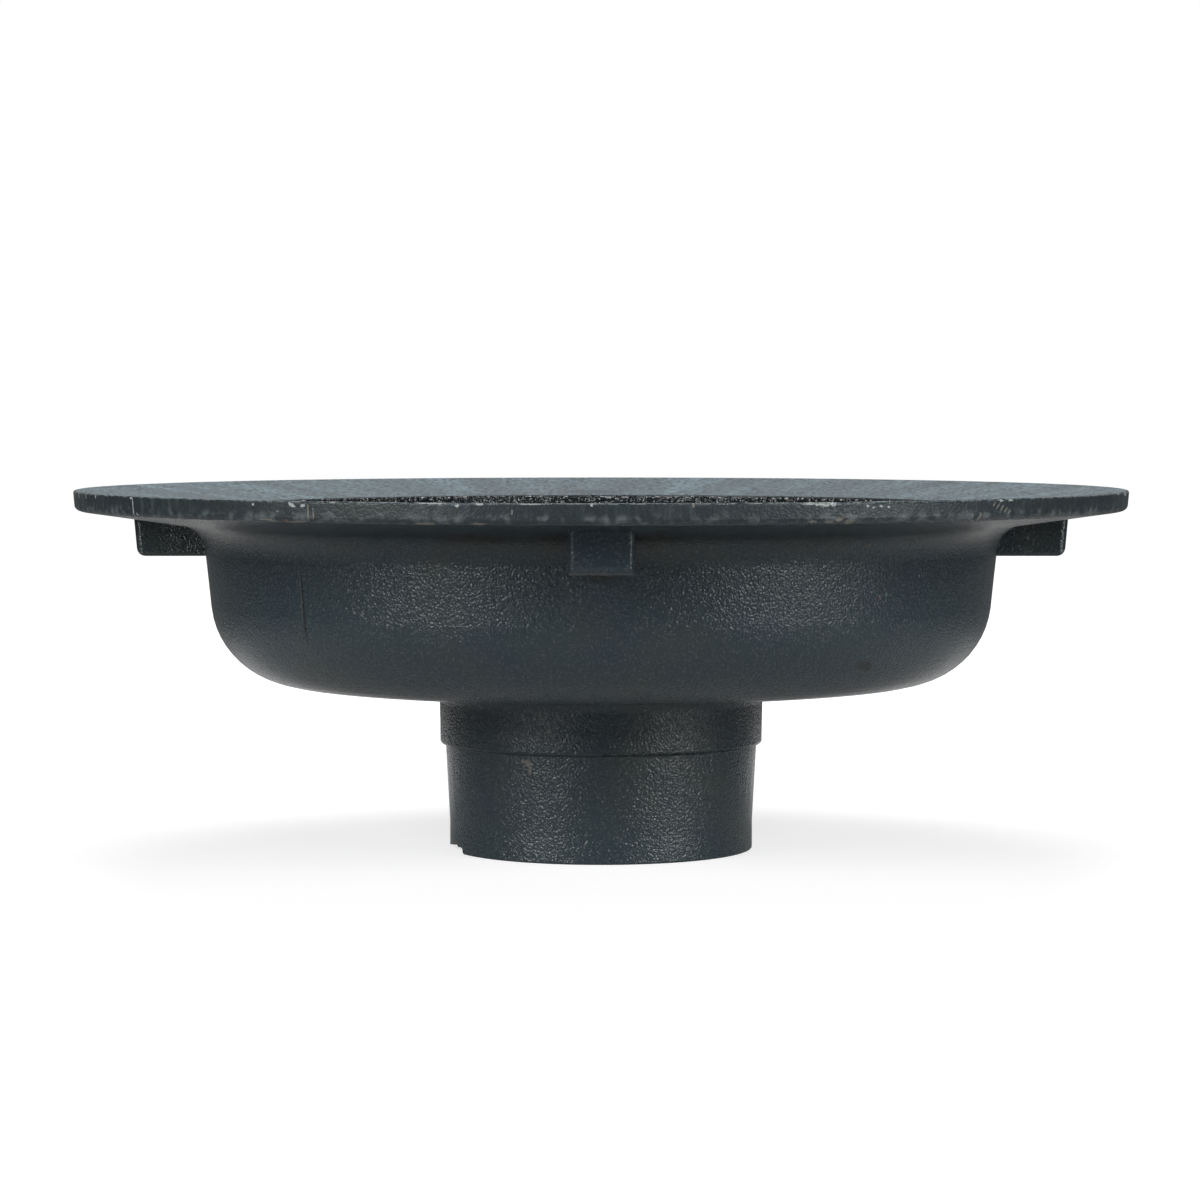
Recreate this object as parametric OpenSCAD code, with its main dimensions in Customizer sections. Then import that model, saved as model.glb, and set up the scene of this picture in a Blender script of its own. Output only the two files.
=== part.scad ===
// Flat roof drain body: one grey-iron casting with a wide dished flange, a round
// bowl and a short outlet spigot. Height 0 is the spigot's lower end and the
// drain's axis is the Z axis. All sizes are in millimetres.

/* [Flange] */
// Inside diameter of the bowl's mouth
mouth_d = 270; // [200:1:360]
// Width of the flange, from the mouth to the rim
flange_w = 55; // [42:1:80]
// Fall of the flange's top, from the rim to the mouth
dish_fall = 6; // [2:0.1:12]
// Thickness of the flange at its rim
rim_t = 7; // [5:0.1:12]
// Thickness of the flange where it joins the bowl
flange_root_t = 8.5; // [6:0.1:14]
// Lean of the rim's edge, in degrees
rim_draft = 5; // [0:0.5:10]

/* [Bowl] */
// Depth of the bowl outside, from the rim down to the collar
bowl_depth = 71.7; // [60:0.1:100]
// Thickness of the bowl's wall at the flange
wall_t = 9; // [6:0.1:12]
// Thickness of the bowl's floor
floor_t = 7; // [5:0.1:10]
// Lean of the wall's outside, in degrees
wall_draft = 6; // [1:0.1:8]
// Lean of the wall's inside, in degrees
mouth_draft = 3; // [0.5:0.1:6]
// Fall of the floor towards the outlet, in degrees
floor_fall = 1.9; // [1:0.1:5]

/* [Outlet] */
// Diameter of the spigot's parallel end, which a pipe coupling grips
spigot_d = 110; // [90:0.5:140]
// Length of the spigot, up to the step
spigot_len = 38.4; // [25:0.1:80]
// Length of the spigot's parallel end
grip_len = 10; // [6:0.5:20]
// Lean of the spigot above its parallel end, in degrees
spigot_draft = 3.1; // [0:0.1:5]
// Thickness of the spigot's wall at its end
spigot_t = 5; // [3:0.1:8]
// Height of the collar above the step
collar_h = 20.7; // [12:0.1:40]
// Step from the spigot out to the collar
collar_step = 1.9; // [1:0.1:5]
// Lean of the collar, in degrees
collar_draft = 1; // [0:0.1:4]

/* [Lugs] */
// Number of lugs under the flange
lug_count = 4; // [3:1:6]
// Width of a lug
lug_w = 21.7; // [18:0.1:30]
// Reach of a lug from the bowl's wall
lug_reach = 24.9; // [20:0.1:32]
// Depth of a lug below the flange's rim
lug_depth = 24.2; // [20:0.1:32]
// Lean of a lug's outer face, in degrees
lug_draft = 5; // [0:0.5:8]
// Distance from a lug's outer face in to its hole
hole_inset = 13.9; // [10:0.1:16]
// Tapping diameter of the blind hole in a lug
hole_d = 8.5; // [5:0.1:10]
// Metal left between the hole and the flange's top
hole_roof = 7.4; // [3:0.1:10]
// Diameter of the countersink at the hole's mouth
sink_d = 10.5; // [10.1:0.1:14]

/* [Roundings] */
// Flange's upper rim
rim_edge_round = 0.8; // [0.3:0.1:2]
// Flange's lower rim
rim_foot_round = 2.2; // [0.5:0.1:3]
// Under the flange, where it joins the bowl's wall
throat_round = 11.5; // [4:0.5:14]
// Bowl's lower corner, outside
heel_round = 31; // [20:0.5:36]
// Bowl's lower corner, inside
sump_round = 26; // [12:0.5:30]
// Edge of the bowl's mouth
mouth_round = 1.5; // [0.5:0.1:3]
// Between the bowl's floor and the bore
drop_round = 6; // [2:0.5:10]
// Between the bowl's floor and the collar
neck_round = 6; // [2:0.5:10]
// Step's outer edge
step_edge_round = 1.2; // [0.3:0.1:1.6]
// Step's inner corner
step_root_round = 0.7; // [0.3:0.1:2]
// Spigot's outer end
spigot_round = 0.8; // [0.3:0.1:2]
// Lug's outer lower edge
lug_toe_round = 3.7; // [1:0.1:5]
// Lug's upright edges
lug_edge_round = 2.5; // [0.5:0.1:4]
// Lug's lower side edges
lug_side_round = 1.5; // [0.5:0.1:4]
// Between a lug and the bowl's wall
lug_root_round = 3.2; // [1:0.1:6]

/* [Broken edges] */
// Direction of the chip in the spigot's end, in degrees from +X
chip_at = 190; // [0:1:360]
// Slope of the knocks in the flange's upper edge, in degrees
knock_slope = 25; // [15:1:50]

/* [Hidden] */
$fn = 128;
paint = "darkslategray";

// How far a cut runs past the metal
past = 1;
// How far a lug runs into the wall, and how deep its rounding starts in the wall
lug_overlap = 4;
root_bite = 0.2;
// How far a corner's piece runs past its sides, and an arc past touching them
bite = 0.3;
slip = 0.002;

// The chip's ragged edge, from left to right: degrees from its middle, height
chip_edge = [[-22, 0], [-16, 0.7], [-10, 1.2], [-4, 1.6], [0, 2.2], [5, 2.5], [9, 3.1],
             [11, 2.2], [13, 2.5], [15, 2.1], [15.4, 0.9], [15.9, 0]];

// Knocks in the flange's upper edge: direction in degrees from +X, length, depth
rim_knocks = [[243.2, 3, 0.3], [256, 11, 0.8], [259.4, 5, 0.5], [263.1, 4, 0.3], [279.7, 1.6, 0.5],
              [290.4, 9, 0.8], [293, 11, 0.9], [313.3, 3, 0.5], [314.8, 2.6, 0.35]];
knock_run = 8;

// Heights
step_z = spigot_len;
collar_z = step_z + collar_h;
rim_z = collar_z + bowl_depth;
mouth_z = rim_z - dish_fall;
lug_z = rim_z - lug_depth;

// Radii
mouth_r = mouth_d / 2;
rim_r = mouth_r + flange_w;
wall_r = mouth_r + wall_t;
spigot_r = spigot_d / 2;
bore_r = spigot_r - spigot_t;
taper_r = spigot_r + (spigot_len - grip_len) * tan(spigot_draft);
step_r = taper_r + collar_step;
collar_r = step_r + collar_h * tan(collar_draft);
lug_r = wall_r + lug_reach;
hole_r = lug_r - hole_inset;

// Height of the flange's top at a radius
function top_z(r) = mouth_z + (r - mouth_r) * dish_fall / flange_w;

// Where the bowl's wall, which passes (r, z) and leans in as it falls, meets the
// floor, which passes (r2, z2) and rises outwards
function corner(r, z, lean, r2, z2, rise) =
    let (low = (z2 + (r - z * tan(lean) - r2) * tan(rise)) / (1 - tan(lean) * tan(rise)))
    [r - (z - low) * tan(lean), low];

// The outlines below are lists of [x, y, rounding] that run anticlockwise
function spot(o, i) = let (c = o[(i + len(o)) % len(o)]) [c[0], c[1]];
function unit(v) = v / norm(v);
function back(o, i) = unit(spot(o, i - 1) - spot(o, i));
function ahead(o, i) = unit(spot(o, i + 1) - spot(o, i));
function half_angle(o, i) = acos(back(o, i) * ahead(o, i)) / 2;
function bulges(o, i) = cross(ahead(o, i), back(o, i)) > 0;

// How far a rounding reaches along its sides, and how much of that a side has room for
function rounding(o, i) = o[(i + len(o)) % len(o)][2];
function reach(o, i) = rounding(o, i) / tan(half_angle(o, i));
function room(o, i) = norm(spot(o, i + 1) - spot(o, i)) / (reach(o, i) + reach(o, i + 1));

// The outline with each rounding no larger than both its sides allow
function eased(o) = [for (i = [0 : len(o) - 1])
    [each spot(o, i), rounding(o, i) * min(1, room(o, i - 1), room(o, i))]];

// Where a corner's arc starts and ends, and its centre. The centre stands closer to
// the sides than the arc's radius by a slip, so that the arc crosses them
function snug(o, i) = o[i][2] - slip;
function arc_start(o, i) = spot(o, i) + back(o, i) * snug(o, i) / tan(half_angle(o, i));
function arc_end(o, i) = spot(o, i) + ahead(o, i) * snug(o, i) / tan(half_angle(o, i));
function arc_centre(o, i) =
    spot(o, i) + unit(back(o, i) + ahead(o, i)) * snug(o, i) / sin(half_angle(o, i));

// What a rounding takes off a corner, or fills into it
module corner_piece(o, i) {
    centre = arc_centre(o, i);
    difference() {
        polygon([for (p = [centre, arc_start(o, i), spot(o, i), arc_end(o, i)])
            centre + (p - centre) * (1 + bite / o[i][2])]);
        translate(centre) circle(r = o[i][2]);
    }
}

// An outline with its corners rounded by true arcs
module rounded_outline(outline) {
    o = eased(outline);
    rounded = [for (i = [0 : len(o) - 1]) if (o[i][2] > 0) i];
    difference() {
        union() {
            polygon([for (i = [0 : len(o) - 1]) spot(o, i)]);
            for (i = rounded) if (!bulges(o, i)) corner_piece(o, i);
        }
        for (i = rounded) if (bulges(o, i)) corner_piece(o, i);
    }
}

// Half of the casting's section: up its outside, across the flange, down its inside
wall_z = top_z(wall_r) - flange_root_t;
heel = corner(wall_r, wall_z, wall_draft, collar_r, collar_z, floor_fall);
sump = corner(mouth_r, mouth_z, mouth_draft, collar_r, collar_z + floor_t, floor_fall);
drop_z = collar_z + floor_t - (collar_r - bore_r) * tan(floor_fall);
section = [
    [bore_r, 0, 0],
    [spigot_r, 0, spigot_round],
    [spigot_r, grip_len, 0],
    [taper_r, step_z, step_root_round],
    [step_r, step_z, step_edge_round],
    [collar_r, collar_z, neck_round],
    [heel[0], heel[1], heel_round],
    [wall_r, wall_z, throat_round],
    [rim_r - rim_t * tan(rim_draft), rim_z - rim_t, rim_foot_round],
    [rim_r, rim_z, rim_edge_round],
    [mouth_r, mouth_z, mouth_round],
    [sump[0], sump[1], sump_round],
    [bore_r, drop_z, drop_round],
];

module casting() {
    rotate_extrude() rounded_outline(section);
}

// A lug from the side: flat below, with a rounded toe and a rounding into the wall
module lug_side() {
    toe_r = lug_r - (lug_depth - rim_t) * tan(lug_draft);
    root_r = wall_r - (wall_z - lug_z) * tan(wall_draft) - root_bite;
    rounded_outline([
        [root_r - lug_overlap, lug_z - lug_root_round, 0],
        [root_r, lug_z - lug_root_round, 0],
        [root_r, lug_z, lug_root_round],
        [toe_r, lug_z, lug_toe_round],
        [lug_r, rim_z - rim_t, 0],
        [root_r - lug_overlap, rim_z - rim_t, 0],
    ]);
}

// A lug from above, measured from the middle of its outer face
module lug_plan() {
    rounded_outline([
        [-2 * lug_reach, -lug_w / 2, 0],
        [0, -lug_w / 2, lug_edge_round],
        [0, lug_w / 2, lug_edge_round],
        [-2 * lug_reach, lug_w / 2, 0],
    ]);
}

// A lug from its end, measured from the middle of its lower face
module lug_end() {
    rounded_outline([
        [-lug_w / 2, 0, lug_side_round],
        [lug_w / 2, 0, lug_side_round],
        [lug_w / 2, 2 * lug_depth, 0],
        [-lug_w / 2, 2 * lug_depth, 0],
    ]);
}

// A lug is what its three outlines have in common
module lug() {
    intersection() {
        rotate([90, 0, 0]) translate([0, 0, -lug_w]) linear_extrude(2 * lug_w) lug_side();
        translate([lug_r, 0, rim_z - rim_t]) rotate([0, lug_draft, 0])
            translate([0, 0, -2 * lug_depth]) linear_extrude(3 * lug_depth) lug_plan();
        translate([0, 0, lug_z]) rotate([90, 0, 90]) linear_extrude(2 * lug_r) lug_end();
    }
}

// The blind hole that comes up into a lug, before it is tapped
module lug_hole() {
    translate([hole_r, 0, lug_z]) {
        translate([0, 0, -past])
            cylinder(d = hole_d, h = top_z(hole_r) - hole_roof - lug_z + past);
        cylinder(d1 = sink_d, d2 = hole_d, h = (sink_d - hole_d) / 2);
    }
}

// What broke out of the spigot's end
module chip() {
    outline = [for (p = chip_edge) [spigot_r * sin(p[0]), p[1]]];
    below = [0, past];
    rotate([0, 0, chip_at]) rotate([90, 0, 90]) linear_extrude(spigot_r + past)
        polygon([each outline, outline[len(outline) - 1] - below, outline[0] - below]);
}

// A scallop out of the flange's upper edge, deepest at the rim. Its depth counts from
// the edge's rounding, so that it starts that much lower
module rim_knock(length, depth) {
    bend_r = (length * length / 4 + depth * depth) / (2 * depth);
    lean = knock_slope;
    rounded_off = rim_edge_round * (1 - cos(lean) + (1 - sin(lean)) * tan(lean));
    translate([rim_r, 0, rim_z - rounded_off - depth]) rotate([0, lean, 0])
        translate([-knock_run, 0, bend_r]) rotate([0, 90, 0])
            cylinder(r = bend_r, h = knock_run + past);
}

module round_the_axis() {
    for (i = [0 : lug_count - 1]) rotate([0, 0, i * 360 / lug_count]) children();
}

module drain_body() {
    color(paint) difference() {
        union() {
            casting();
            round_the_axis() lug();
        }
        round_the_axis() lug_hole();
        chip();
        for (k = rim_knocks) rotate([0, 0, k[0]]) rim_knock(k[1], k[2]);
    }
}

drain_body();
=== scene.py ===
# %% [markdown]
# # A flat roof drain in painted cast iron
#
# This lesson dresses one object: the body of a flat roof drain. It is a single iron
# casting, a shallow bowl with a wide flange round its mouth, four lugs under the
# flange and a short spigot below. The shape comes ready made and to size, and is
# never touched here. What Blender adds is the finish: thin blue-grey paint over iron
# that was poured in sand, the scrapes along its rim, and the light it is seen in.
#
# The first cell loads the shape. Everything is in metres, with Z up and the drain
# standing on its spigot at the origin.

import math

import bmesh
import bpy
from mathutils import Euler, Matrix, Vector


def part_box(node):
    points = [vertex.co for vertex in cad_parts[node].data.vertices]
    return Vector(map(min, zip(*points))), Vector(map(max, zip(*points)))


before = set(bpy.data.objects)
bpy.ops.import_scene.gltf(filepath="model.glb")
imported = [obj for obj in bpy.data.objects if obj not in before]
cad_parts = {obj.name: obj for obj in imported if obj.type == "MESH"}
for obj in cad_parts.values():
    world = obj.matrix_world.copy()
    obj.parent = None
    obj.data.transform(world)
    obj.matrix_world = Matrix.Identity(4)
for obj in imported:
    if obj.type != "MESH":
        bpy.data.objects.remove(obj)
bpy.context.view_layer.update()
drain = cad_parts["drain_body"]

lowest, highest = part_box("drain_body")
rim_radius = (highest.x - lowest.x) / 2
rim_height = highest.z
print(f"The drain is {2 * rim_radius:.3f} m across and {rim_height:.3f} m high.")

# %% [markdown]
# ## Looking at it
#
# A wide, low object is best seen from just above its rim, so that the flange shows
# as a thin ellipse and the mouth as a dark line inside it. A long lens from well back
# keeps the ellipse flat and the spigot upright. A short lens close by would open the
# ellipse and make the near rim bulge.

# %% Place the camera
camera_distance = 1.4
camera_above_rim = 0.0341
camera_aside = -0.0004
camera_tilt = math.radians(3.05)
sensor_width = 36.0
focal_length = 115.69

lens = bpy.data.cameras.new("long lens")
lens.sensor_width = sensor_width
lens.lens = focal_length
camera = bpy.data.objects.new("camera", lens)
camera.location = (camera_aside, -camera_distance, rim_height + camera_above_rim)
camera.rotation_euler = Euler((math.pi / 2 - camera_tilt, 0, 0))
bpy.context.collection.objects.link(camera)
bpy.context.scene.camera = camera
print(f"The camera stands {camera_distance} m away with a {focal_length} mm lens.")

# %% [markdown]
# ## Helpers for node trees
#
# Materials and the world are small networks of nodes. Six short helpers keep them
# readable. One feeds a socket: a value that is already a socket is linked, and a plain
# number or colour is typed in. One adds a node and feeds its sockets. The others each
# stand for one kind of node: a sum, a smooth ramp, a blend of two numbers by a share,
# and the length of a vector.

# %% Helpers for nodes


def feed(tree, socket, value):
    """Links a socket to another, or sets its number or colour."""
    if isinstance(value, bpy.types.NodeSocket):
        tree.links.new(value, socket)
    else:
        socket.default_value = value


def add(tree, kind, inputs=None, **settings):
    """Adds a shader node, sets its choices and feeds its sockets."""
    node = tree.nodes.new("ShaderNode" + kind)
    for name, choice in settings.items():
        setattr(node, name, choice)
    for name, value in (inputs or {}).items():
        feed(tree, node.inputs[name], value)
    return node


def sum_of(tree, operation, *values):
    """The result of one sum on numbers."""
    return add(tree, "Math", dict(enumerate(values)), operation=operation).outputs[0]


def ramp(tree, value, start, end, low=0.0, high=1.0):
    """A value that goes smoothly from low at start to high at end."""
    numbers = {"Value": value, "From Min": start, "From Max": end, "To Min": low, "To Max": high}
    return add(tree, "MapRange", numbers, interpolation_type="SMOOTHSTEP").outputs[0]


def blend(tree, share, first, second):
    """A number between two others."""
    return add(tree, "Mix", {"Factor": share, "A": first, "B": second}).outputs["Result"]


def length_of(tree, vector):
    """The length of a vector."""
    return add(tree, "VectorMath", {0: vector}, operation="LENGTH").outputs["Value"]


print("Helpers for nodes: feed, add, sum_of, ramp, blend and length_of.")

# %% [markdown]
# ## The studio
#
# The drain stands on a wide pale floor in a white room, and beyond the floor the camera
# sees plain white. The room lights the drain much more dimly than that, because a white
# room as a lamp would wash the dark paint out. The lamps alone shape the casting.
#
# The paint mirrors a little of the room too. Behind the drain that is a white sweep,
# which gives the outline a thin pale edge and makes the flange shine when it is seen
# from low down. Everywhere else the studio is nearly dark in the paint, as a real one
# is behind its lamps, and that keeps the near side of the bowl deep. The world tells
# these apart by the kind of ray that reaches it.

# %% The room
room_light = 0.04
dim_sides = 0.005
white_sweep = 0.42

room = bpy.data.worlds.new("white room")
room.use_nodes = True
bpy.context.scene.world = room
tree = room.node_tree
tree.nodes.clear()
ray = add(tree, "LightPath").outputs
direction = add(tree, "TexCoord").outputs["Generated"]
towards_back = add(tree, "SeparateXYZ", {"Vector": direction}).outputs["Y"]
mirrored = ramp(tree, towards_back, 0.75, 0.96, dim_sides, white_sweep)
mirror_ray = sum_of(tree, "MAXIMUM", ray["Is Glossy Ray"], ray["Is Transmission Ray"])
by_mirror = blend(tree, mirror_ray, room_light, mirrored)
strength = blend(tree, ray["Is Camera Ray"], by_mirror, 1.0)
shell = add(tree, "Background", {"Color": (1, 1, 1, 1), "Strength": strength})
add(tree, "OutputWorld", {"Surface": shell.outputs[0]})
print(f"The room shows as white and lights the drain at a strength of {room_light}.")

# %% [markdown]
# ## The floor
#
# The floor is a large disc of pale board. The camera sees it white: near the drain a
# part of that white is light of the board's own and the lamps add the rest, so the
# soft shadow of the drain stays, and far away it is all the board's own, so the floor
# runs into the white of the room with no horizon.
#
# The first cell makes the board and the next one gives it that look.

# %% The floor
floor_radius = 6.0
board_white = 0.42

disc = bmesh.new()
bmesh.ops.create_circle(disc, cap_ends=True, segments=96, radius=floor_radius)
floor_mesh = bpy.data.meshes.new("floor")
disc.to_mesh(floor_mesh)
disc.free()
floor = bpy.data.objects.new("floor", floor_mesh)
bpy.context.collection.objects.link(floor)

board = bpy.data.materials.new("pale_board")
board.use_nodes = True
floor_mesh.materials.append(board)
tree = board.node_tree
shader = tree.nodes["Principled BSDF"]
shader.inputs["Roughness"].default_value = 0.9
shader.inputs["Specular IOR Level"].default_value = 0.1
shader.inputs["Emission Color"].default_value = (1, 1, 1, 1)
print(f"The floor is a disc of {floor_radius} m.")

# %% [markdown]
# ### What the camera sees and what the paint mirrors
#
# Dark glossy paint shows the floor round it as much as it shows the lamps, so what it
# mirrors is set apart from what the camera sees. Up to about a quarter of a metre away
# the paint mirrors the board as the lamps light it. From half a metre on the board is
# almost black in the paint, which keeps the sides of the bowl dark. Behind the drain
# and, faintly, beneath it the paint sees some light of the board's own, as it would of
# a white sweep.

# %% The look of the floor
near_glow = 0.7
mirrored_white = 0.08
under_glow = 0.1

place = add(tree, "TexCoord").outputs["Object"]
away = length_of(tree, place)
ray = add(tree, "LightPath").outputs
in_mirror = ramp(tree, away, 0.22, 0.55, board_white, mirrored_white)
feed(tree, shader.inputs["Base Color"], blend(tree, ray["Is Glossy Ray"], board_white, in_mirror))

seen = sum_of(tree, "MAXIMUM", ray["Is Camera Ray"], ray["Is Transmission Ray"])
seen = sum_of(tree, "MULTIPLY", seen, ramp(tree, away, 0.25, 1.1, near_glow, 1.0))

towards_back = add(tree, "SeparateXYZ", {"Vector": place}).outputs["Y"]
behind = ramp(tree, sum_of(tree, "DIVIDE", towards_back, away), 0.45, 0.9)
rising = ramp(tree, away, 0.15, 0.28, 0.3, 0.7)
falling = ramp(tree, away, 0.3, 0.5, 1.0, 0.1)
sweep_foot = sum_of(tree, "MULTIPLY", behind, sum_of(tree, "MULTIPLY", rising, falling))
under = ramp(tree, away, 0.22, 0.16, 0.0, under_glow)
mirrored = sum_of(tree, "MULTIPLY", ray["Is Glossy Ray"], sum_of(tree, "MAXIMUM", sweep_foot, under))
feed(tree, shader.inputs["Emission Strength"], sum_of(tree, "MAXIMUM", seen, mirrored))
print(f"Near the drain the board shows {near_glow} of its white by itself.")

# %% [markdown]
# ## The lamps
#
# A large softbox stands in front on either side, well above the rim. Each leaves a soft
# upright sheen on the round walls, with a darker stretch between the two, and the
# flange shades the top of the bowl from both. A small lamp near the floor on either
# side reaches under the flange and lights the lower bowl and the spigot. A large
# softbox high behind lights the flange's top. Hard lamps would turn the grain of the
# casting into glitter.

# %% The lamps
front_box = (0.65, 0.75)
low_box = (0.25, 0.25)
back_box = (1.2, 0.8)


def softbox(name, size, place, power):
    """A rectangular lamp at a place, turned towards the drain."""
    light = bpy.data.lights.new(name, "AREA")
    light.shape = "RECTANGLE"
    light.size, light.size_y = size
    light.energy = power
    lamp = bpy.data.objects.new(name, light)
    lamp.location = place
    aim = Vector((0, 0, rim_height / 2)) - lamp.location
    lamp.rotation_euler = aim.to_track_quat("-Z", "Y").to_euler()
    bpy.context.collection.objects.link(lamp)


def around(angle, distance, height):
    """A place at an angle from the front, positive to the right, and at a distance."""
    turn = math.radians(angle)
    return Vector((distance * math.sin(turn), -distance * math.cos(turn), height))


softbox("softbox left", front_box, around(-47, 1.5, 0.74), power=19)
softbox("softbox right", front_box, around(49, 1.5, 0.74), power=18)
softbox("low lamp left", low_box, around(-42, 1.4, 0.12), power=1.6)
softbox("low lamp right", low_box, around(56, 1.4, 0.12), power=2.2)
softbox("softbox behind", back_box, around(180, 0.95, 1.75), power=25)
print("Two large softboxes and two small low lamps in front, one softbox high behind.")

# %% [markdown]
# ## Node groups
#
# A node group is a small tree with named inputs and outputs, which a material uses as
# if it were one node. Each of the three below works out one thing about the casting:
# where a point lies, what the sand left there, and which mark covers it. So each can
# be read and tried alone. Two helpers open a group and place it in a material.

# %% Helpers for groups


def new_group(name, inputs, outputs):
    """A node group with named sockets, and its input and output nodes."""
    tree = bpy.data.node_groups.new(name, "ShaderNodeTree")
    for socket, kind in inputs.items():
        tree.interface.new_socket(socket, in_out="INPUT", socket_type="NodeSocket" + kind)
    for socket, kind in outputs.items():
        tree.interface.new_socket(socket, in_out="OUTPUT", socket_type="NodeSocket" + kind)
    return tree, tree.nodes.new("NodeGroupInput").outputs, tree.nodes.new("NodeGroupOutput").inputs


def use(tree, group, inputs):
    """Places a group in a tree and returns its outputs."""
    return add(tree, "Group", inputs, node_tree=group).outputs


print("Helpers for groups: new_group and use.")

# %% [markdown]
# ## Where a point lies on a round casting
#
# A casting made from a round pattern wears and weathers in rings and rays.
# So the finish needs to know how far a point is from the axis, how high it is, and at
# what angle round the drain it lies, counted from the front. This group works that out
# once. It also gives the bearing, a vector of length one that points outwards, which
# noise can follow round the drain with no seam at the back.

# %% Group: round the drain
round_the_drain, given, result = new_group(
    "round the drain", {"Position": "Vector"},
    {"Radius": "Float", "Height": "Float", "Angle": "Float", "Bearing": "Vector"})
tree = round_the_drain
x, y, z = add(tree, "SeparateXYZ", {"Vector": given["Position"]}).outputs
flat = add(tree, "CombineXYZ", {"X": x, "Y": y}).outputs[0]
turn = sum_of(tree, "ARCTAN2", x, sum_of(tree, "MULTIPLY", y, -1.0))
outwards = add(tree, "VectorMath", {0: flat}, operation="NORMALIZE").outputs["Vector"]
feed(tree, result["Radius"], length_of(tree, flat))
feed(tree, result["Height"], z)
feed(tree, result["Angle"], sum_of(tree, "DEGREES", turn))
feed(tree, result["Bearing"], outwards)
print("Group: round the drain")

# %% [markdown]
# ## The skin of a sand casting
#
# Molten iron takes the print of the sand it is poured in: small round grains, finer
# grit between them, and here and there a pimple where the mould lost a grain. Carving
# that into the mesh would take millions of faces, so it is a height for a bump. A soft
# noise and a pattern of cells make the grains together, and a second, sparser pattern
# of cells makes the pimples. The size of a grain is an input, because one part of a
# mould can be of coarser sand than another.

# %% Group: cast skin
cast_skin, given, result = new_group(
    "cast skin", {"Position": "Vector", "Grain Size": "Float"},
    {"Height": "Float", "Grain": "Float", "Pimple": "Float"})
tree = cast_skin
per_grain = sum_of(tree, "DIVIDE", 1.0, given["Grain Size"])
to_grains = {0: given["Position"], "Scale": per_grain}
grain_place = add(tree, "VectorMath", to_grains, operation="SCALE").outputs[0]

soft = {"Vector": grain_place, "Scale": 1.0, "Detail": 2.0, "Roughness": 0.55}
grit = sum_of(tree, "MULTIPLY", add(tree, "TexNoise", soft).outputs[0], 0.8)
cells = add(tree, "TexVoronoi", {"Vector": grain_place, "Scale": 1.15})
pebbles = sum_of(tree, "SUBTRACT", 1.0, cells.outputs["Distance"])
grain = sum_of(tree, "ADD", grit, sum_of(tree, "MULTIPLY", pebbles, 0.45))

sparse = add(tree, "TexVoronoi", {"Vector": grain_place, "Scale": 0.24})
chosen = add(tree, "SeparateColor", {"Color": sparse.outputs["Color"]}).outputs["Red"]
is_pimple = ramp(tree, chosen, 0.9, 0.92)
pimple_and_glint = sum_of(tree, "MULTIPLY", ramp(tree, sparse.outputs["Distance"], 0.13, 0.04), is_pimple)
feed(tree, result["Grain"], grain)
feed(tree, result["Pimple"], pimple_and_glint)
feed(tree, result["Height"], sum_of(tree, "ADD", grain, sum_of(tree, "MULTIPLY", pimple_and_glint, 0.9)))
print("Group: cast skin")

# %% [markdown]
# ## The marks on this drain
#
# Each row is an oval mark on the side of the drain: its angle from the front in
# degrees, its distance below the top edge, half its width and half its height in
# millimetres, and how far it leans in degrees. Widths are counted at the rim, so a mark
# on the spigot is narrower than its row says.
#
# Pale chips sit on the rim, most of them on its top edge, where the paint broke away
# over the knocks. Earth-brown scrapes lie lower on the rim, and one patch of earth
# sticks to the spigot. Rust shows in a few spots. Dark pits are blow holes, and broad
# brown stains lie in the shade under the flange.

# %% The lists of marks
pale_chips = [
    (-78, 1.2, 0.4, 0.9, 0), (-74, 1.1, 0.5, 1.0, 5), (-70, 1.0, 0.4, 0.9, -5),
    (-66, 0.9, 0.4, 0.7, 0), (-56.2, 0.6, 1.1, 0.4, 0), (-55.9, 3.2, 0.3, 3.0, 0),
    (-55.2, 5.9, 0.4, 0.5, 0), (-36.4, 1.3, 0.5, 0.4, 0), (-31.6, 1.3, 1.6, 0.6, 20),
    (-30.3, 1.5, 1.0, 0.5, -15), (-26.8, 0.2, 1.3, 0.3, 0), (-16.3, 0.2, 5.2, 0.3, 0),
    (-13.9, 1.0, 0.8, 0.4, 0), (-11.7, 0.4, 1.6, 0.3, 0), (-6.8, 0.3, 3.4, 0.2, 0),
    (-0.9, 0.6, 0.4, 0.5, 0), (20.6, 0.4, 3.5, 0.5, 0), (22.0, 0.6, 4.2, 0.8, 0),
    (26.6, 1.5, 0.5, 0.4, 20), (27.3, 1.9, 0.5, 0.3, -10), (28.1, 1.5, 0.7, 0.3, 10),
    (29.0, 1.8, 0.4, 0.4, 0), (43.6, 0.5, 1.2, 0.4, 0), (45.1, 0.5, 1.2, 0.4, 0),
    (71.0, 0.4, 0.9, 0.5, 0), (75.5, 0.8, 1.6, 0.6, 0)]
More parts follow.
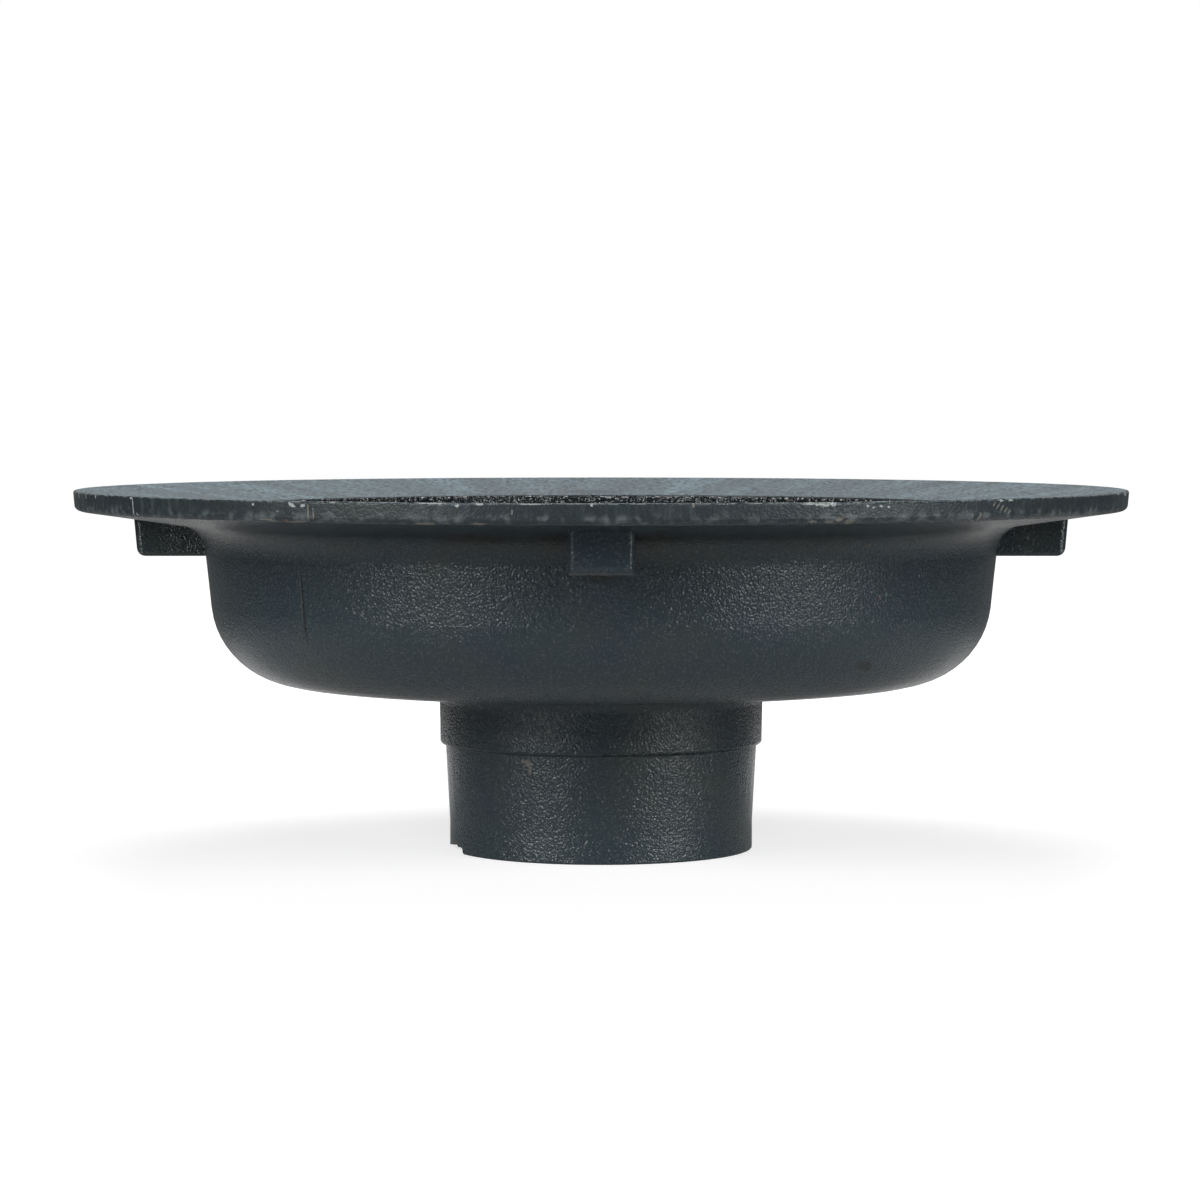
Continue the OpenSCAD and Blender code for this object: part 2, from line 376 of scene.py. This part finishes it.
brown_scrapes = [
    (-29.7, 3.5, 0.3, 2.6, 0), (-29.1, 4.2, 0.3, 2.0, 0), (-34.6, 6.3, 3.6, 0.3, 3),
    (-31.2, 6.7, 4.6, 0.3, -3), (-17.2, 6.7, 3.4, 0.4, 0), (-11.7, 6.7, 2.2, 0.4, 0),
    (-8.5, 2.9, 0.3, 0.8, 0), (8.8, 0.6, 0.5, 0.7, 0), (20.8, 6.2, 1.8, 0.4, 0),
    (22.6, 6.4, 1.4, 0.4, 0), (23.6, 5.7, 1.6, 0.7, 0), (24.8, 6.3, 2.2, 0.8, 0),
    (39.6, 5.7, 0.4, 1.1, 0), (40.7, 5.8, 0.6, 1.5, 0), (41.7, 5.9, 0.4, 1.0, 0),
    (42.6, 1.7, 0.3, 1.1, 40), (43.2, 2.3, 0.3, 1.3, 40), (43.8, 3.0, 0.35, 1.4, 40),
    (44.4, 3.7, 0.3, 1.2, 40), (45.0, 4.3, 0.3, 1.0, 40)]
spigot_earth = [
    (-29.0, 94.6, 2.6, 0.9, 0), (-27.0, 95.4, 3.6, 1.4, 0), (-26.4, 97.6, 1.8, 1.2, 0)]
rust_spots = [
    (-32.5, 6.5, 1.2, 0.45, 0), (73.9, 0.3, 0.8, 0.5, 0), (37.9, 16.2, 0.8, 0.7, 0),
    (41.3, 33.9, 0.8, 0.7, 0)]
dark_pits = [(43.4, 6.6, 1.3, 0.5, 0), (41.2, 57.5, 6.0, 1.6, 10)]
brown_stains = [
    (-6.5, 14.0, 9.0, 3.0, 0), (7.0, 13.5, 8.0, 2.5, 0), (0.0, 25.5, 9.0, 1.6, 0),
    (-16.0, 13.0, 14.0, 2.0, 0), (62.0, 14.0, 12.0, 4.0, 0), (-62.0, 14.0, 12.0, 4.0, 0)]
marks_of = {
    "Chipped": pale_chips, "Scraped": brown_scrapes + spigot_earth, "Rusted": rust_spots,
    "Pitted": dark_pits, "Stained": brown_stains}
for kind, marks in marks_of.items():
    print(f"{kind}: {len(marks)} marks.")

# %% [markdown]
# ## From lists to masks
#
# A Mapping node moves, turns and shrinks an oval to a circle of radius one, so the
# length of what comes out says how far inside or outside the mark a point lies. The
# least of these lengths is the distance to the nearest mark in the list. Noise makes
# its outline ragged, once for the whole list.

# %% Group: marks
mm_per_degree = 1000 * math.radians(rim_radius)
far_away = 10.0
mark_edge = (1.15, 0.7)


def nearest_mark(tree, place, marks):
    """How far a place is from the nearest mark, where one is that mark's outline."""
    nearest = far_away
    for at_angle, at_below, half_width, half_height, lean in marks:
        oval = add(tree, "Mapping", {"Vector": place}, vector_type="TEXTURE")
        oval.inputs["Location"].default_value = (at_angle * mm_per_degree, at_below, 0)
        oval.inputs["Rotation"].default_value = (0, 0, math.radians(lean))
        oval.inputs["Scale"].default_value = (half_width, half_height, 1)
        nearest = sum_of(tree, "MINIMUM", nearest, length_of(tree, oval.outputs[0]))
    return nearest


marks_group, given, result = new_group(
    "marks", {"Angle": "Float", "Below Rim": "Float", "Ragged": "Float"},
    dict.fromkeys(marks_of, "Float"))
tree = marks_group
along = sum_of(tree, "MULTIPLY", given["Angle"], mm_per_degree)
place = add(tree, "CombineXYZ", {"X": along, "Y": given["Below Rim"]}).outputs[0]
ragged = sum_of(tree, "MULTIPLY_ADD", given["Ragged"], 2.0, -1.0)
for kind, marks in marks_of.items():
    reach = sum_of(tree, "ADD", nearest_mark(tree, place, marks), ragged)
    feed(tree, result[kind], ramp(tree, reach, *mark_edge))
print("Group: marks")

# %% [markdown]
# ## Painted cast iron
#
# The paint is a dark slate, blue-grey and a little glossy, dipped or sprayed thin over
# the rough iron. One material covers the drain, because it is one casting. The node
# groups above feed it, and each step below adds one layer to the colour, the roughness
# or the bump. First it needs masks for the casting's own parts: the flange's flat top,
# the inside of the bowl and the outside. A surface is inside where it lies within the
# mouth and faces in or up more than it faces out.

# %% The material and its measures
mouth_radius = 0.136
mouth_blur = 0.0005

paint = bpy.data.materials.new("painted_casting")
paint.use_nodes = True
tree = paint.node_tree
shader = tree.nodes["Principled BSDF"]
position = add(tree, "TexCoord").outputs["Object"]
radius, height, angle, bearing = use(tree, round_the_drain, {"Position": position})
below_rim = sum_of(tree, "MULTIPLY", sum_of(tree, "SUBTRACT", rim_height, height), 1000.0)
normal = add(tree, "TexCoord").outputs["Normal"]
facing_up = add(tree, "SeparateXYZ", {"Vector": normal}).outputs["Z"]
facing_out = add(tree, "VectorMath", {0: normal, 1: bearing}, operation="DOT_PRODUCT").outputs["Value"]


def noise(scale, vector=position, detail=2.0):
    """A soft noise in the material, between 0 and 1, with features of 1 / scale metres."""
    return add(tree, "TexNoise", {"Vector": vector, "Scale": scale, "Detail": detail}).outputs[0]


def times(first, second):
    """Two masks multiplied."""
    return sum_of(tree, "MULTIPLY", first, second)


near_top = ramp(tree, height, rim_height - 0.009, rim_height - 0.007)
on_top = times(ramp(tree, facing_up, 0.8, 0.95), near_top)
faces_in = ramp(tree, sum_of(tree, "SUBTRACT", facing_out, facing_up), 0.1, -0.1)
in_mouth = ramp(tree, radius, mouth_radius + mouth_blur, mouth_radius - mouth_blur)
inside = times(in_mouth, faces_in)
faces_out = ramp(tree, facing_out, 0.4, 0.6)
print("The material knows where a point lies and which way it faces.")

# %% [markdown]
# ### Paint and its wandering colour
#
# Two slow noises shift the paint between a bluer and a greyer slate. Then comes the
# grain: wet paint runs off the tops of the grains and gathers between them, so each top
# is paler, and the paint looks as if it was strewn with salt. The grains are about a
# millimetre across on the outside. On the flange's top and inside the bowl, which other
# parts of the mould formed, they are more than two.

# %% Colour of the paint
slate = (0.021, 0.034, 0.040, 1)
blue_slate = (0.020, 0.032, 0.042, 1)
grey_slate = (0.027, 0.037, 0.039, 1)
thin_paint = (0.080, 0.096, 0.100, 1)
fine_grain = 0.0010
coarse_grain = 0.0023


def blend_colours(share, first, second):
    """A colour between two others."""
    mix = add(tree, "Mix", data_type="RGBA")
    feed(tree, mix.inputs[0], share)
    feed(tree, mix.inputs[6], first)
    feed(tree, mix.inputs[7], second)
    return mix.outputs[2]


coarse = sum_of(tree, "MAXIMUM", on_top, inside)
grain_size = blend(tree, coarse, fine_grain, coarse_grain)
skin_height, grain, pimple_and_glint = use(tree, cast_skin, {"Position": position, "Grain Size": grain_size})
colour = blend_colours(ramp(tree, noise(38.0), 0.5, 0.68), slate, blue_slate)
colour = blend_colours(ramp(tree, noise(22.0, detail=4.0), 0.5, 0.66), colour, grey_slate)
colour = blend_colours(ramp(tree, grain, 0.66, 0.82, 0.0, 0.35), colour, thin_paint)
print("Paint: slate, with bluer and greyer patches and paler grains.")

# %% [markdown]
# ### Browner under the flange, black inside
#
# Under the flange and round the lugs, surfaces that face down turn browner and a little
# darker in patches. Inside, the bowl is almost black with what has run through it.

# %% Browner under the flange, black inside
brown = (0.026, 0.025, 0.022, 1)
black = (0.008, 0.009, 0.0095, 1)
browner_until = 0.172
browner_full = 0.158

# Surfaces facing down under the flange turn browner and a little darker in patches.
near_flange = ramp(tree, height, rim_height - 0.021, rim_height - 0.012)
under_flange = times(near_flange, ramp(tree, radius, browner_until, browner_full))
facing_down = ramp(tree, facing_up, 0.1, -0.2)
browner_under_flange = times(times(under_flange, facing_down), ramp(tree, noise(30.0, detail=4.0), 0.42, 0.6))
colour = blend_colours(times(browner_under_flange, 0.5), colour, brown)
colour = blend_colours(times(inside, 0.75), colour, black)
print("Grime added.")

# %% [markdown]
# ### The top of the flange
#
# The flange's top lay in the weather. Its paint has chalked to a lighter blue-grey,
# most of all on the grains, in faint rays that run from the mouth to the rim. Noise
# stretched along the radius makes the rays: it reads the bearing, which changes round
# the drain, and only a little of the place itself. One patch at the back, by the mouth,
# turns back towards plain slate and is darker. It is an oval made by a Mapping node, as the marks are.

# %% Chalked paint on top
chalked_slate = (0.150, 0.235, 0.280, 1)
ray_radius = 0.19
ray_wander = (0.25, 0.25, 0.25)
patch_place = (-0.004, 0.145, rim_height)
patch_size = (0.014, 0.005, 0.1)

on_ring = add(tree, "VectorMath", {0: bearing, "Scale": ray_radius}, operation="SCALE").outputs[0]
along_ray = {0: position, 1: ray_wander, 2: on_ring}
ray_place = add(tree, "VectorMath", along_ray, operation="MULTIPLY_ADD").outputs[0]
rays = ramp(tree, noise(34.0, ray_place, 3.0), 0.4, 0.68, 0.5, 1.0)
chalked = times(rays, ramp(tree, grain, 0.45, 0.75, 0.1, 1.0))
colour = blend_colours(times(on_top, chalked), colour, chalked_slate)

patch = add(tree, "Mapping", {"Vector": position}, vector_type="TEXTURE")
patch.inputs["Location"].default_value = patch_place
patch.inputs["Scale"].default_value = patch_size
darker_patch = ramp(tree, length_of(tree, patch.outputs[0]), 1.2, 0.6, 0.0, 0.6)
colour = blend_colours(times(on_top, darker_patch), colour, slate)
print("Top chalked.")

# %% [markdown]
# ### The rim
#
# The rim is what gets handled and knocked. Its face is darker than the bowl, with paler
# mottling where it is rubbed, mostly on its lower half, and upright streaks where
# castings were dragged past each other. Along its top edge the paint is worn to a thin pale
# line, which is also a painted highlight of the light on the rounded edge.

# %% Wear on the rim
worn_slate = (0.010, 0.015, 0.017, 1)
rubbed = (0.080, 0.096, 0.100, 1)
bare_and_highlight = (0.16, 0.18, 0.18, 1)

near_rim = ramp(tree, radius, rim_radius - 0.0019, rim_radius - 0.0011)
rim_face = times(near_rim, ramp(tree, facing_up, 0.5, 0.2))
upright = add(tree, "VectorMath", {0: position, 1: (1.0, 1.0, 0.08)}, operation="MULTIPLY").outputs[0]
streaked = times(ramp(tree, noise(420.0, upright), 0.5, 0.75), ramp(tree, noise(26.0), 0.45, 0.6))
mottled = ramp(tree, noise(260.0, detail=4.0), 0.45, 0.7)
lower = ramp(tree, below_rim, 2.5, 5.5, 0.1, 1.0)
colour = blend_colours(times(rim_face, 0.55), colour, worn_slate)
colour = blend_colours(times(rim_face, times(mottled, lower)), colour, rubbed)
colour = blend_colours(times(rim_face, times(streaked, 0.4)), colour, rubbed)

# The pale line on the top edge is worn paint and a painted highlight of the rounded edge.
at_edge = ramp(tree, radius, rim_radius - 0.0010, rim_radius - 0.0006)
top_edge = times(ramp(tree, below_rim, 0.6, 0.25), at_edge)
worn_and_highlit_edge = times(top_edge, ramp(tree, noise(330.0, detail=3.0), 0.42, 0.62))
colour = blend_colours(times(worn_and_highlit_edge, 0.75), colour, bare_and_highlight)
print("Wear added.")

# %% [markdown]
# ### The mould line
#
# Where two parts of the mould met, a fine line was left down the side of the bowl. It
# is a thin groove in the bump, and a little darker, which is painted shade along the groove.

# %% A line left by the mould
line_angle = -45.4
line_half_width = 0.35
line_top = (25.0, 28.0)
line_foot = (52.0, 46.0)

off_line = sum_of(tree, "ABSOLUTE", sum_of(tree, "SUBTRACT", angle, line_angle))
on_wall = times(ramp(tree, below_rim, *line_top), ramp(tree, below_rim, *line_foot))
seam_and_shade = times(ramp(tree, off_line, line_half_width, 0.0), times(on_wall, faces_out))
# The darker line along the groove is painted shade.
colour = blend_colours(times(seam_and_shade, 0.8), colour, black)
print(f"Mould line at {line_angle} degrees from the front.")

# %% [markdown]
# ### Stains, chips, scrapes, rust and pits
#
# The marks go on last, each kind in its own colour: brown in the stains, earthy where
# soil was scraped along the rim, chalky where the paint broke away, then rust, then
# soot in the pits. The pimples go between them, painted a little pale as a glint of the
# light they catch. Each layer is a mask, the share of the paint that it covers, and its colour.
#
# The lists know only an angle and a height, so a mark would run across the flange as a
# streak. A mask keeps the marks off the flange's top, but for its outer edge, and out
# of the bowl.

# %% Colour of the marks
earth = (0.17, 0.16, 0.135, 1)
chalk = (0.36, 0.39, 0.38, 1)
rust = (0.10, 0.062, 0.040, 1)
soot = (0.012, 0.012, 0.012, 1)

outer_edge = ramp(tree, radius, rim_radius - 0.0031, rim_radius - 0.0017)
marked = sum_of(tree, "MAXIMUM", sum_of(tree, "SUBTRACT", 1.0, coarse), outer_edge)
mark_place = {"Angle": angle, "Below Rim": below_rim, "Ragged": noise(1400.0, detail=3.0)}
all_marks = use(tree, marks_group, mark_place)
chipped, scraped, rusted, pitted, stained = [times(mark, marked) for mark in all_marks]
# The pale on the pimples is a painted glint of the light they catch.
layers = [
    (stained, 0.5, brown), (pimple_and_glint, 0.3, chalk), (scraped, 0.8, earth),
    (chipped, 0.85, chalk), (rusted, 0.8, rust), (pitted, 0.8, soot)]
for mask, cover, mark_colour in layers:
    colour = blend_colours(times(mask, cover), colour, mark_colour)
feed(tree, shader.inputs["Base Color"], colour)
print(f"Marks added in {len(layers)} layers.")

# %% [markdown]
# ### Gloss
#
# The paint is fairly glossy outside, and hardly less so inside the bowl. Handling has
# dulled the rim's face, chalking has dulled the flange's top, and the chips and scrapes
# are dullest. Each step sets one of these over the one before.

# %% Roughness
rough_paint = 0.22
rough_rim = 0.42
rough_mark = 0.75
rough_inside = 0.24
rough_top = 0.5

dull = sum_of(tree, "MAXIMUM", sum_of(tree, "MAXIMUM", chipped, scraped), times(worn_and_highlit_edge, 0.6))
roughness = ramp(tree, rim_face, 0.0, 1.0, rough_paint, rough_rim)
roughness = blend(tree, dull, roughness, rough_mark)
roughness = blend(tree, inside, roughness, rough_inside)
roughness = blend(tree, on_top, roughness, rough_top)
feed(tree, shader.inputs["Roughness"], roughness)
shader.inputs["Specular IOR Level"].default_value = 0.5
print(f"Roughness {rough_paint} outside, {rough_rim} on the rim, {rough_top} on top.")

# %% [markdown]
# ### Bump
#
# The height of the grains reaches the light through one Bump node. Its distance says
# how many metres a height of one stands for. The coarser grains on the flange's top and
# inside stand four times as high as those outside, and the grains on the rim's face and
# on the lugs half as high, because hands and tools have rubbed them. Slow waves join
# them, since no sand mould is quite true, and the mould line is cut out.

# %% Bump and the shader
grain_height = 0.00038
coarse_height = 4.0
lugs_stand_at = (0.152, 0.162)
lugs_hang_below = (8.5, 9.5)

waves = sum_of(tree, "MULTIPLY", noise(110.0), 0.3)
on_lugs = times(ramp(tree, radius, *lugs_stand_at), ramp(tree, below_rim, *lugs_hang_below))
smoother = times(sum_of(tree, "MAXIMUM", rim_face, on_lugs), 0.5)
deeper = sum_of(tree, "SUBTRACT", ramp(tree, coarse, 0.0, 1.0, 1.0, coarse_height), smoother)
skin = sum_of(tree, "MULTIPLY_ADD", skin_height, deeper, waves)
relief = sum_of(tree, "SUBTRACT", skin, seam_and_shade)
bump = add(tree, "Bump", {"Height": relief, "Strength": 1.0, "Distance": grain_height})
feed(tree, shader.inputs["Normal"], bump.outputs["Normal"])

for slot in drain.material_slots:
    slot.material = paint
print(f"The drain wears {paint.name}.")

# %% [markdown]
# ## Finish
#
# White has to stay white and slate has to stay slate, so the view transform is
# Standard.

# %% Finish
bpy.context.scene.view_settings.view_transform = "Standard"
